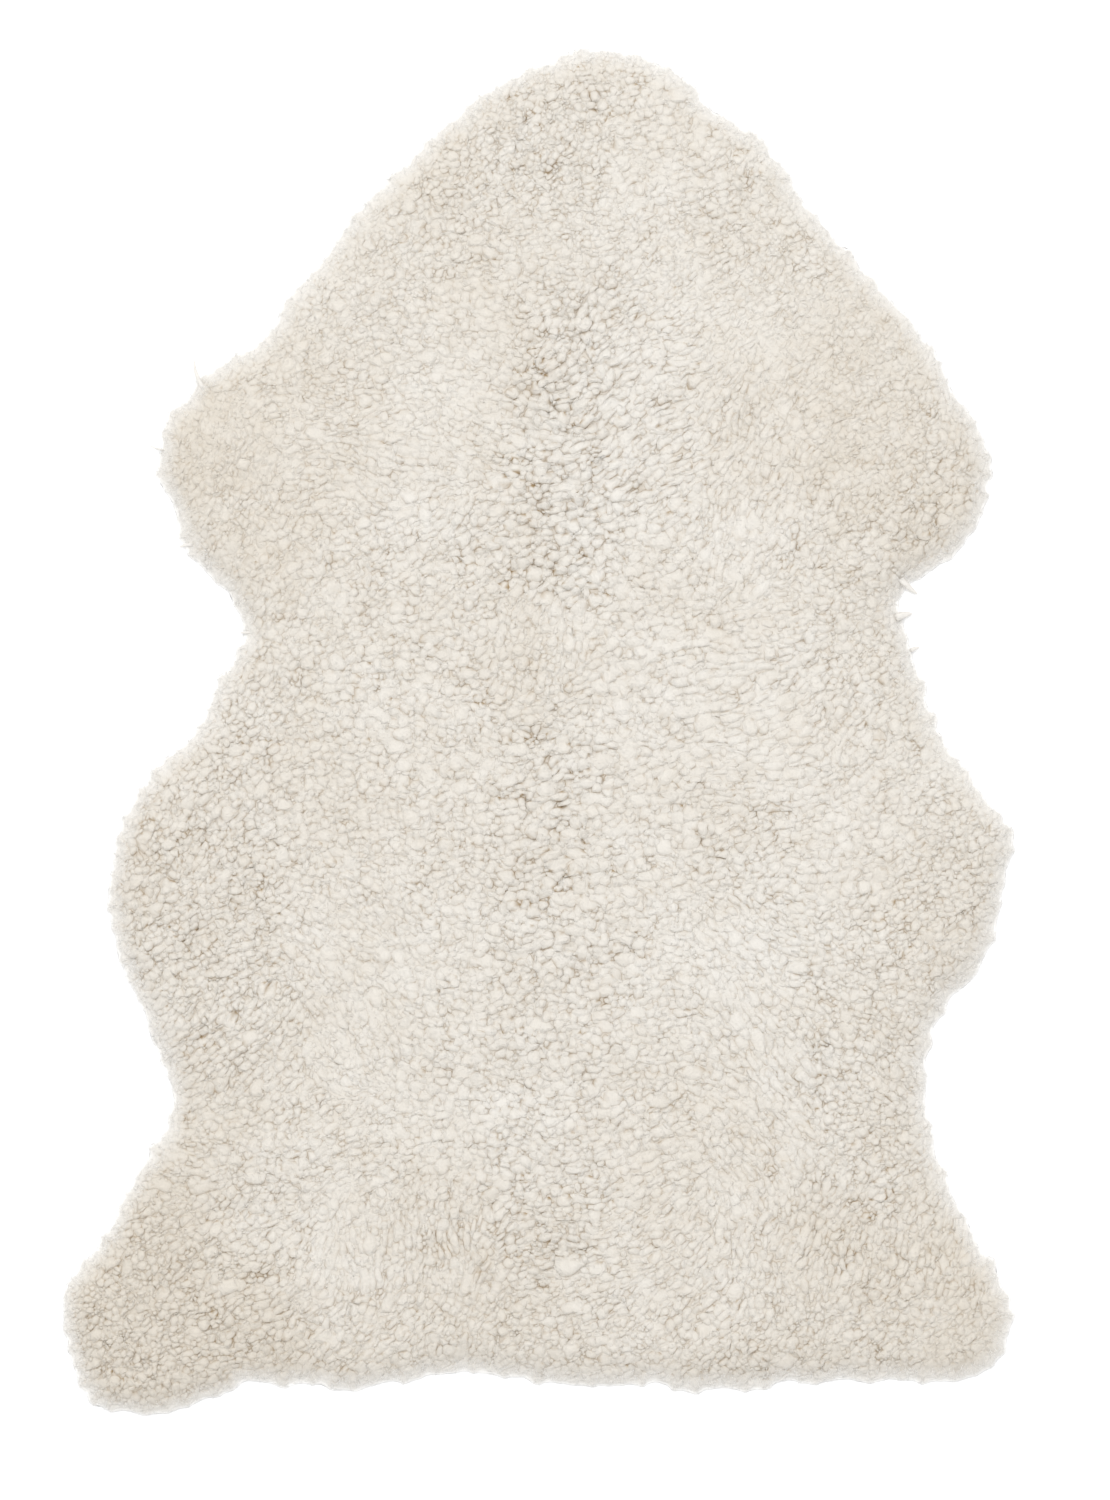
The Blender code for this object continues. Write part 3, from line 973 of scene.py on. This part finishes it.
# stray locks that stand out past the rim
# root x, root y, tip x, tip y, width at the root, all in mm, and how far it bends, in radians
strayLocks = [
    (-234.0, 239.0, -241.6, 261.5, 3.2, 0.75), (-263.0, 196.6, -274.3, 201.0, 1.5, 0.3),
    (-242.5, 131.0, -252.6, 129.0, 2.6, -0.3), (-200.0, 70.0, -209.5, 69.2, 2.4, 0.25),
    (252.5, 107.0, 264.6, 96.0, 4.6, -0.35), (249.0, 79.4, 261.0, 82.6, 5.6, 0.45),
    (259.5, 56.6, 266.0, 59.0, 3.0, 0.3), (-294.5, -363.8, -306.5, -361.4, 4.8, -0.4),
    (-289.0, -344.6, -299.0, -347.4, 5.4, 0.3),
]
strayForm = {
    "sides": 8,
    "rings": ((0.2, 1.0), (0.4, 0.92), (0.6, 0.75), (0.78, 0.55), (0.92, 0.3)),
    "height": 5.5 * mm,  # of the root, and then of the tip
    "tip": 2.5 * mm,
    # tone: no painted crease shade, and the rim's paler colour, partly painted light
    "tone": (0.0, 0.0, 0.3, 0.62),
}


def growStrays(material):
    rows = np.array(strayLocks)
    roots = np.column_stack([rows[:, 0:2] * mm, np.full(len(rows), strayForm["height"])])
    tips = np.column_stack([rows[:, 2:4] * mm, np.full(len(rows), strayForm["tip"])])
    run, bends = tips - roots, rows[:, 5]
    lengths = np.linalg.norm(run, axis=1) * (bends / 2) / np.sin(bends / 2)
    side = unit(np.cross(run, (0.0, 0.0, 1.0)))
    ways = unit(unit(run) * np.cos(bends / 2)[:, None] - side * np.sin(bends / 2)[:, None])
    shape = taperShape(strayForm["sides"], strayForm["rings"])
    made = combed(shape, roots, ways, lengths, bends, rows[:, 4] / 2 * mm, strayForm["tone"])
    meshFrom("strayLocks", made, material)


# the hide under the wool, seen from below
hide = {
    "inset": 10 * mm,  # from the outline of the wool
    "step": 6 * mm,
    "thick": 1.6 * mm,
    "rounds": 3,  # of drawing the edge onto its line and smoothing it
    "smooth": 0.3,
    "skin": (0.70, 0.61, 0.47, 1),
    "worn": (0.80, 0.73, 0.61, 1),
    "vein": (0.60, 0.50, 0.37, 1),
    "coarse": 0.6,
    "cloud": (7.0, 4.0),  # scale and detail of each grain
    "fine": (420.0, 4.0),
    "nap": (1400.0, 2.0),
    "veins": (16.0, 3.0),
    "veinThin": 60.0,
    "veined": 0.22,
    "wornNap": 0.25,
}


def hideFinish():
    suede = Finish("suede")
    place = suede.node("ShaderNodeTexCoord").output("Object")
    cloud, fine, nap, veins = (
        suede.grain(place, *hide[name], hide["coarse"]) for name in ("cloud", "fine", "nap", "veins")
    )
    between = (veins - 0.5) ** 2 * hide["veinThin"]
    between = suede.node("ShaderNodeMath", {"operation": "MINIMUM"}, {0: between, 1: 1.0})
    body = suede.mix(cloud, hide["skin"], hide["worn"])
    body = suede.mix((1 - between) * hide["veined"], body, hide["vein"])
    body = suede.mix(nap * hide["wornNap"], body, hide["worn"])
    return suede.dress(
        Base_Color=body, Roughness=0.80 + (fine - 0.5) * 0.25,
        Normal=suede.bump(fine * 0.7 + nap * 0.3 + between * 0.25, 0.5, 0.4 * mm),
        Specular_IOR_Level=0.25, Sheen_Weight=0.3, Sheen_Roughness=0.6,
    )


def layHide():
    step = hide["step"]
    cells = np.ceil((boxHigh - boxLow) / step).astype(int)
    sheet = bmesh.new()
    bmesh.ops.create_grid(sheet, x_segments=cells[0], y_segments=cells[1], size=1.0)
    bmesh.ops.scale(sheet, verts=sheet.verts, vec=(cells[0] / 2 * step, cells[1] / 2 * step, 1))
    bmesh.ops.translate(sheet, verts=sheet.verts, vec=(*(boxLow + boxHigh) / 2, 0))
    spots = np.array([vert.co.xy for vert in sheet.verts])
    outside = fromLand("inland", spots) < hide["inset"]
    gone = [vert for vert, out in zip(sheet.verts, outside) if out]
    bmesh.ops.delete(sheet, geom=gone, context="VERTS")
    gone = [vert for vert in sheet.verts if not vert.link_faces]
    bmesh.ops.delete(sheet, geom=gone, context="VERTS")
    border = [vert for vert in sheet.verts if vert.is_boundary]
    for _ in range(hide["rounds"]):
        spots = np.array([vert.co.xy for vert in border])
        spots = spots + inwardAt(spots) * (hide["inset"] - fromLand("inland", spots))[:, None]
        for vert, spot in zip(border, spots):
            vert.co.xy = spot
        bmesh.ops.smooth_vert(sheet, verts=border, factor=hide["smooth"], use_axis_x=True, use_axis_y=True)
    area = sum(face.calc_area() for face in sheet.faces)
    bmesh.ops.translate(sheet, verts=sheet.verts, vec=(0, 0, hide["thick"]))
    bmesh.ops.solidify(sheet, geom=sheet.faces, thickness=hide["thick"])
    bmesh.ops.recalc_face_normals(sheet, faces=sheet.faces)
    mesh = meshOf("hide", sheet)
    mesh.materials.append(hideFinish())
    piece = placed("hide", mesh)
    belong(piece)


# wool deep down, between the curls: the skin itself, drawn in, coloured darker than the curls as painted
# shade between them
deepWool = {
    "merge": 0.01 * mm,
    "drop": 4.0 * mm,  # below the skin's surface
    "inset": 6 * mm,  # from the outline, and how often it is drawn in to it
    "rounds": 2,
    "under": 3.0 * mm,  # the rounded rim
    "floor": 2.2 * mm,  # lowest
    # darker than the curls' ivory: painted shade for the deep wool between them
    "colour": (0.66, 0.62, 0.54, 1),
    "shadow": (0.58, 0.53, 0.44, 1),
    "clot": (260.0, 4.0),
}


def shadedDeepFinish():
    deep = Finish("deepWool")
    clot = deep.grain(deep.node("ShaderNodeTexCoord").output("Object"), *deepWool["clot"])
    return deep.dress(
        Base_Color=deep.mix(clot, deepWool["shadow"], deepWool["colour"]), Roughness=0.95,
        Normal=deep.bump(clot, 0.6, 1.0 * mm), Specular_IOR_Level=0.2,
    )


def growBase():
    shell = bmesh.new()
    shell.from_mesh(skin.data)
    bmesh.ops.remove_doubles(shell, verts=shell.verts, dist=deepWool["merge"])
    shell.normal_update()
    for vert in shell.verts:
        vert.co -= vert.normal * deepWool["drop"]
    at = np.array([vert.co for vert in shell.verts])
    for _ in range(deepWool["rounds"]):
        inland, inward = fromLand("inland", at[:, :2]), inwardAt(at[:, :2])
        at[:, :2] += inward * np.maximum(deepWool["inset"] - inland, 0)[:, None]
    turn = np.arccos(np.clip(1 - fromLand("inland", at[:, :2]) / rim["wide"], 0, 1))
    ceiling = fromLand("level", at[:, :2]) * np.sin(turn) - deepWool["under"]
    at[:, 2] = np.clip(at[:, 2], deepWool["floor"], np.maximum(ceiling, deepWool["floor"]))
    for vert, point in zip(shell.verts, at):
        vert.co = point
    mesh = meshOf("woolBase", shell)
    mesh.polygons.foreach_set("use_smooth", np.ones(len(mesh.polygons), dtype=bool))
    mesh.materials.append(shadedDeepFinish())
    print("wool deep down:", len(mesh.polygons), "triangles")
    belong(placed("woolBase", mesh))


# studio
studio = {
    "rows": 1500,  # of pixels in the picture
    "pixel": 0.7 * mm,  # at the skin
    "centre": (10.85 * mm, -12.95 * mm),  # of the picture
    "height": 6.0,  # of the camera
    "sensor": 36.0,
    "clip": (0.1, 50.0),
    "keyAt": (-0.4, 2.05, 5.4),
    "keyPower": 170.0,
    "keySize": 3.2,
    "sky": 0.98,
    "floor": 6.0,  # from its middle to its side
    "under": 0.2 * mm,  # gap between the skin and the floor
    "paint": (0.93, 0.93, 0.93, 1),
    "paintPale": (0.96, 0.96, 0.96, 1),
}


def floorFinish():
    paint = Finish("floorPaint")
    grain = paint.grain(paint.node("ShaderNodeTexCoord").output("Object"), 3.0, 2.0)
    return paint.dress(
        Base_Color=paint.mix(grain, studio["paint"], studio["paintPale"]), Roughness=0.9,
        Specular_IOR_Level=0.1,
    )


def setStage():
    scene = bpy.context.scene
    scene.view_settings.view_transform = "Standard"
    ground = bmesh.new()
    bmesh.ops.create_grid(ground, x_segments=4, y_segments=4, size=studio["floor"])
    bmesh.ops.translate(ground, verts=ground.verts, vec=(0, 0, -studio["under"]))
    mesh = meshOf("studioFloor", ground)
    mesh.materials.append(floorFinish())
    floor = placed("studioFloor", mesh)

    world = bpy.data.worlds.new("studioAir")
    world.use_nodes = True
    air = world.node_tree.nodes["Background"]
    air.inputs["Color"].default_value = (1, 1, 1, 1)
    air.inputs["Strength"].default_value = studio["sky"]
    scene.world = world

    lamp = bpy.data.lights.new("key", "AREA")
    lamp.energy = studio["keyPower"]
    lamp.size = studio["keySize"]
    key = placed("key", lamp)
    key.location = studio["keyAt"]
    key.rotation_euler = (-Vector(studio["keyAt"])).to_track_quat("-Z", "Y").to_euler()

    lens = bpy.data.cameras.new("camera")
    lens.sensor_width = studio["sensor"]
    lens.lens = studio["sensor"] * studio["height"] / (studio["rows"] * studio["pixel"])
    lens.clip_start, lens.clip_end = studio["clip"]
    scene.camera = placed("camera", lens)
    scene.camera.location = (*studio["centre"], studio["height"])
    print("stage set")


setStage()
woolMaterial = curlFinish()
skinLand = readLand()
print("form read")
clumps = plantClumps()
readClumps()
print("clumps read")
places = settle()
print("curls placed:", len(places["width"]))
layMat(woolMaterial)
growCurls(places, woolMaterial)
growWisps()
growStrays(woolMaterial)
growBase()
layHide()
